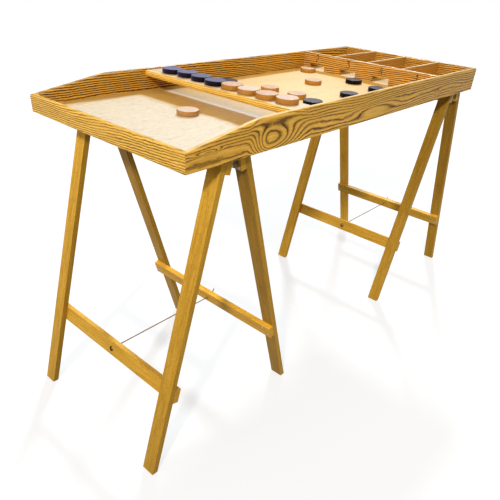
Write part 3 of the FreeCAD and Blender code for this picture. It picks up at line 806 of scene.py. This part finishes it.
# the gates' numbers, each stroke on a square whose side is the number's height
numbers = {
    "1": (((0.10, 0.76), (0.20, 0.84), (0.34, 1.0), (0.34, 0.98), (0.31, 0.5), (0.30, 0.0)),),
    "2": (((0.05, 0.78), (0.12, 0.97), (0.34, 1.04), (0.54, 0.90), (0.48, 0.60), (0.24, 0.28),
           (0.02, 0.02), (0.04, 0.01), (0.30, 0.05), (0.58, 0.03)),),
    "3": (((0.04, 0.97), (0.26, 0.98), (0.54, 1.0), (0.52, 0.97), (0.36, 0.78), (0.24, 0.62),
           (0.27, 0.61), (0.52, 0.58), (0.62, 0.30), (0.46, 0.0), (0.18, -0.02), (0.02, 0.14)),),
    "4": (((0.38, 1.0), (0.22, 0.68), (0.02, 0.36), (0.03, 0.34), (0.30, 0.36), (0.60, 0.38)),
          ((0.46, 0.66), (0.43, 0.34), (0.40, 0.0))),
}
gateNumbers = (("1", -0.18825), ("4", -0.06275), ("3", 0.06275), ("2", 0.18825))
lettering = {
    "tall": 0.021,
    "stroke": 0.00125,        # half its width
    "flat": 0.25,             # how much of its round thickness a stroke keeps
    "gateTop": 0.7713,        # height over the ground
}


# a curve of smooth strokes; a depth makes each one a round tube
def splineCurve(name, strokes, depth):
    curve = bpy.data.curves.new(name, "CURVE")
    curve.dimensions = "3D"
    curve.bevel_depth = depth
    curve.bevel_resolution = 2
    curve.use_fill_caps = True
    for stroke in strokes:
        spline = curve.splines.new("NURBS")
        spline.points.add(len(stroke) - 1)
        for point, place in zip(spline.points, stroke):
            point.co = (*place, 1)
        spline.order_u = 3
        spline.use_endpoint_u = True
        spline.resolution_u = 8
    return bpy.data.objects.new(name, curve)


def makeNumbers():
    low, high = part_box("gate_bar")
    tall = lettering["tall"]
    ink = numberInk("number ink")
    for number, side in gateNumbers:
        middle = 0.5 * (lettering["gateTop"] + high.z)
        strokes = [[(u * tall, v * tall, 0) for u, v in stroke] for stroke in numbers[number]]
        curve = splineCurve("stroke" + number, strokes, lettering["stroke"])
        mesh = bpy.data.meshes.new_from_object(curve)
        for vertex in mesh.vertices:
            u, v, out = vertex.co
            vertex.co = (low.x - lettering["flat"] * out, side - u + 0.3 * tall, middle + v - tall / 2)
        mesh.name = "gateNumber" + number
        mesh.validate()
        form = bmesh.new()
        form.from_mesh(mesh)
        bmesh.ops.recalc_face_normals(form, faces=form.faces)
        form.to_mesh(mesh)
        form.free()
        show("gateNumber" + number, mesh, ink, "board")
    print("numbers painted")


# screws: pan heads with a cross recess, turned each its own way

screw = {"wide": 0.007, "high": 0.0021, "cross": 0.0021, "slot": 0.00042, "deep": 0.0011}

# where they stand, from the middle of a stretcher or of the hinges' axis
screwRows = {
    "legSide": 0.2245,        # out to the pair on each leg
    "apart": 0.009,           # half the way from one of the pair to the other
    "rungFace": 0.0075,       # the stretcher's face, then the top rail's and how far it is down
    "railFace": 0.0072, "railDrop": 0.0315,
    "leafSide": 0.215, "leafFace": 0.0056, "leafStep": 0.013, "leafDrops": (0.010, 0.018, 0.010),
    "leafSize": 0.72,         # a leaf's screws beside the others
}


def screwHead():
    sides, steps = 48, 14
    form = bmesh.new()
    rings = [[form.verts.new((0, 0, screw["high"] - screw["deep"]))]]
    radius = screw["wide"] / 2
    for step in range(1, steps + 1):
        share = step / steps
        ring = []
        for n in range(sides):
            angle = 2 * math.pi * n / sides
            x, y = radius * share * math.cos(angle), radius * share * math.sin(angle)
            height = screw["high"] * math.sqrt(max(0.0, 1 - share ** 3.2))
            if min(abs(x), abs(y)) < screw["slot"] and radius * share < screw["cross"]:
                height -= screw["deep"]
            ring.append(form.verts.new((x, y, height)))
        rings.append(ring)
    rings.append([form.verts.new((0, 0, -0.0002))])
    joinRings(form, rings, sides)
    mesh = meshFrom(form, "screwHead")
    mesh.shade_smooth()
    mesh.set_sharp_from_angle(angle=math.radians(35))
    head = bpy.data.objects.new("screwHead", mesh)
    bpy.context.scene.collection.objects.link(head)
    return head


# puts a head on every point, along the point's facing and at its size
def screwTree():
    tree = bpy.data.node_groups.new("screwsOnPoints", "GeometryNodeTree")
    face = tree.interface
    face.new_socket("Points", in_out="INPUT", socket_type="NodeSocketGeometry")
    face.new_socket("Head", in_out="INPUT", socket_type="NodeSocketObject")
    face.new_socket("Seed", in_out="INPUT", socket_type="NodeSocketInt")
    face.new_socket("Material", in_out="INPUT", socket_type="NodeSocketMaterial")
    face.new_socket("Screws", in_out="OUTPUT", socket_type="NodeSocketGeometry")
    given = tree.nodes.new("NodeGroupInput").outputs
    facing = put(tree, "GeometryNodeInputNamedAttribute", {"Name": "facing"}, data_type="FLOAT_VECTOR")
    size = put(tree, "GeometryNodeInputNamedAttribute", {"Name": "size"}, data_type="FLOAT")
    stood = put(tree, "FunctionNodeAlignRotationToVector", {"Vector": facing.outputs[0]}, axis="Z")
    chance = put(tree, "FunctionNodeRandomValue", data_type="FLOAT")
    chance.inputs[3].default_value = math.pi
    tree.links.new(given["Seed"], chance.inputs["Seed"])
    spin = put(tree, "FunctionNodeAxisAngleToRotation", {"Axis": (0, 0, 1), "Angle": chance.outputs[1]})
    turned = put(tree, "FunctionNodeRotateRotation", {0: stood.outputs[0], 1: spin.outputs[0]},
                 rotation_space="LOCAL")
    head = put(tree, "GeometryNodeObjectInfo", {"Object": given["Head"], "As Instance": True})
    placed = put(tree, "GeometryNodeInstanceOnPoints", {
        "Points": given["Points"], "Instance": head.outputs["Geometry"],
        "Rotation": turned.outputs[0], "Scale": size.outputs[0],
    })
    whole = put(tree, "GeometryNodeRealizeInstances", {"Geometry": placed.outputs[0]})
    dressed = put(tree, "GeometryNodeSetMaterial",
                  {"Geometry": whole.outputs[0], "Material": given["Material"]})
    out = tree.nodes.new("NodeGroupOutput")
    tree.links.new(dressed.outputs[0], out.inputs[0])
    return tree


# where the screws of one leg frame stand, which way they look, and their sizes
def screwPlaces(stem, trestle, facing, lean):
    angle = math.radians(lean)
    inward = Vector((facing * math.cos(angle), 0, -math.sin(angle)))
    upward = Vector((facing * math.sin(angle), 0, math.cos(angle)))
    low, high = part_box(trestle + "_hinge_pins")
    axis = (low + high) / 2
    axis.y = 0
    low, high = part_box(stem + "_stretcher")
    rung = (low + high) / 2 + screwRows["rungFace"] * inward
    rung.y = 0
    rail = axis - screwRows["railFace"] * inward - screwRows["railDrop"] * upward
    apart = screwRows["apart"]
    found = []
    for end in (-1, 1):
        leg = Vector((0, end * screwRows["legSide"], 0))
        for step in (-1, 1):
            shift = Vector((0, step * apart, 0))
            found.append((rung + leg + shift - step * end * apart * upward, inward, 1.0))
            found.append((rail + leg + shift, inward, 1.0))
        for step, drop in zip((-1, 0, 1), screwRows["leafDrops"]):
            leaf = Vector((0, end * screwRows["leafSide"] + step * screwRows["leafStep"], 0))
            place = axis - screwRows["leafFace"] * inward - drop * upward + leaf
            found.append((place, inward, screwRows["leafSize"]))
    return found


def makeScrews(lean):
    head = screwHead()
    tree = screwTree()
    keys = {item.name: item.identifier for item in tree.interface.items_tree}
    seed = 0
    for trestle in ("front_trestle", "rear_trestle"):
        for word, facing in (("front", 1), ("rear", -1)):
            stem = "%s_%s" % (trestle, word)
            found = screwPlaces(stem, trestle, facing, lean)
            cloud = bpy.data.meshes.new(stem + "Points")
            cloud.from_pydata([place for place, way, size in found], [], [])
            ways = cloud.attributes.new("facing", "FLOAT_VECTOR", "POINT")
            ways.data.foreach_set("vector", [c for place, way, size in found for c in way])
            sizes = cloud.attributes.new("size", "FLOAT", "POINT")
            sizes.data.foreach_set("value", [size for place, way, size in found])
            points = bpy.data.objects.new(stem + "Points", cloud)
            bpy.context.scene.collection.objects.link(points)
            seed += 1
            grow = points.modifiers.new("screws", "NODES")
            grow.node_group = tree
            grow[keys["Head"]] = head
            grow[keys["Seed"]] = seed
            grow[keys["Material"]] = zinc
            made = points.evaluated_get(bpy.context.evaluated_depsgraph_get())
            mesh = bpy.data.meshes.new_from_object(made)
            points.modifiers.remove(grow)
            bpy.data.objects.remove(points)
            show(stem + "Screws", mesh, zinc, bodyOf(stem + "_stretcher"))
    bpy.data.objects.remove(head)
    print("screws made")


# ropes: three strands twisted together, knotted in the stretchers' recesses
# the tail is the loose end, which leans by some degrees from upright

rope = {
    "wide": 0.0032, "strand": 0.0017, "twist": 0.0105, "knot": 0.008, "knotStrand": 0.0025,
    "tail": 0.024, "tailLean": 34.0, "tip": 0.0012, "bend": 0.008, "step": 0.0009,
}


# the points of the smooth line through the route, as Blender draws it
def routePoints(name, places):
    curve = splineCurve(name, [places], 0.0)
    curve.data.splines[0].resolution_u = 24
    line = bpy.data.meshes.new_from_object(curve)
    return [vertex.co.copy() for vertex in line.vertices]


# points a step apart along a line
def evenly(points, step):
    found, left = [points[0]], step
    for a, b in zip(points, points[1:]):
        run = (b - a).length
        while run >= left:
            a = a.lerp(b, left / run)
            run -= left
            found.append(a)
            left = step
        left -= run
    return found + [points[-1]]


# a tube that winds round a line, closed at both ends
def strand(form, line, radius, offset, phase, sides=9):
    rings, gone = [], 0.0
    side = Vector((0, 1, 0))
    for n, place in enumerate(line):
        ahead = line[min(n + 1, len(line) - 1)] - line[max(n - 1, 0)]
        ahead.normalize()
        gone += (place - line[n - 1]).length if n else 0.0
        up = ahead.cross(side).normalized()
        angle = phase + 2 * math.pi * gone / rope["twist"]
        heart = place + offset * (math.cos(angle) * side + math.sin(angle) * up)
        ring = []
        for k in range(sides):
            turn = angle + 2 * math.pi * k / sides
            ring.append(form.verts.new(heart + radius * (math.cos(turn) * side + math.sin(turn) * up)))
        rings.append(ring)
    joinRings(form, rings, sides)
    form.faces.new(rings[0])
    form.faces.new(rings[-1])


# a tight overhand knot: the closed loop that crosses itself three times
def knotMesh(name, heart):
    form = bmesh.new()
    turns, sides, thick = 90, 10, rope["knotStrand"] / 2
    reach = (rope["knot"] / 2 - thick) / 3
    loop = []
    for n in range(turns):
        t = 2 * math.pi * n / turns
        y, z = math.sin(t) + 2 * math.sin(2 * t), math.cos(t) - 2 * math.cos(2 * t)
        around = Vector((-1.3 * math.sin(3 * t), y, z))
        loop.append(heart + reach * around)
    rings = []
    for n, place in enumerate(loop):
        ahead = (loop[(n + 1) % turns] - loop[n - 1]).normalized()
        out = (place - heart).normalized()
        side = ahead.cross(out).normalized()
        up = side.cross(ahead)
        ring = []
        for k in range(sides):
            turn = 2 * math.pi * k / sides
            ring.append(form.verts.new(place + thick * (math.cos(turn) * side + math.sin(turn) * up)))
        rings.append(ring)
    joinRings(form, [rings[-1]] + rings, sides)
    mesh = meshFrom(form, name)
    mesh.shade_smooth()
    return mesh


def makeRopes():
    hemp = ropeFibre("rope fibre", *fibreTones["rope"])
    worn = ropeFibre("knot fibre", *fibreTones["knot"])
    lean = math.radians(rope["tailLean"])
    tailway = Vector((math.sin(lean), 0, math.cos(lean)))
    for trestle in ("front_trestle", "rear_trestle"):
        node = trestle + "_rope"
        low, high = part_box(node)
        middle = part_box(trestle + "_hinge_pins")
        centre = Vector(((middle[0].x + middle[1].x) / 2, 0, low.z + rope["knot"] / 2))
        reach = Vector((centre.x - low.x - rope["knot"] / 2, 0, 0))
        first, last = centre - reach, centre + reach
        bodies = [bodyOf("%s_%s_stretcher" % (trestle, word)) for word in ("front", "rear")]
        tip = last + (rope["tail"] - rope["tip"]) * tailway
        route = [first, centre - 0.5 * reach, centre + 0.5 * reach, last - Vector((rope["bend"], 0, 0))]
        route += [last, last + rope["bend"] * tailway, tip]
        line = evenly(routePoints(node + "Line", route), rope["step"])
        form = bmesh.new()
        for n in range(3):
            strand(form, line, rope["strand"] / 2, rope["strand"] / 2, 2 * math.pi * n / 3)
        mesh = meshFrom(form, node + "Strands")
        mesh.shade_smooth()
        mesh.materials.append(hemp)
        piece = bpy.data.objects.new(node + "Strands", mesh)
        bpy.context.scene.collection.objects.link(piece)
        for word, place, body in (("Front", first, bodies[0]), ("Rear", last, bodies[1])):
            name = node + word + "Knot"
            show(name, knotMesh(name, place), worn, body)
        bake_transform(piece)
        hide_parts(node)


def makeTrestles():
    lean = joints["front_trestle_fold"]["range_deg"][1] / 2
    for trestle in ("front_trestle", "rear_trestle"):
        for frameName, facing in (("front", 1), ("rear", -1)):
            stem = "%s_%s" % (trestle, frameName)
            for part in ("near_leg", "far_leg", "stretcher", "top_rail"):
                node = "%s_%s" % (stem, part)
                low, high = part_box(node)
                along = (0, -90 + facing * lean, 0) if part.endswith("leg") else (facing * lean, 0, 90)
                middle = (low + high) / 2
                shadedStainedRecess = (middle, facing) if part == "stretcher" else None
                mat = beechWood(node.replace("_", " "), along, middle + Vector(beech["start"]),
                                plankPaintedShade.get(node, (1.0, 1.0, 1.0)), shadedStainedRecess)
                easedPlank(node, mat, eases["beech"], node + "Wood")
            for node in [n for n in nodes if n.startswith(stem) and "hinge" in n]:
                nodes[node].data.materials.clear()
                nodes[node].data.materials.append(metal)
        pins = trestle + "_hinge_pins"
        nodes[pins].data.materials.clear()
        nodes[pins].data.materials.append(metal)
    makeScrews(lean)
    print("trestles made")


addCamera()
addSky()
addLamps()
addFloor()
print("camera, light and floor set")
metal = steel("hinge steel", *metalTones["hinge"])
zinc = steel("screw steel", *metalTones["screw"])
makeBoard()
makeNumbers()
makeDiscs()
makeTrestles()
makeRopes()

bpy.context.scene.view_settings.view_transform = "Standard"
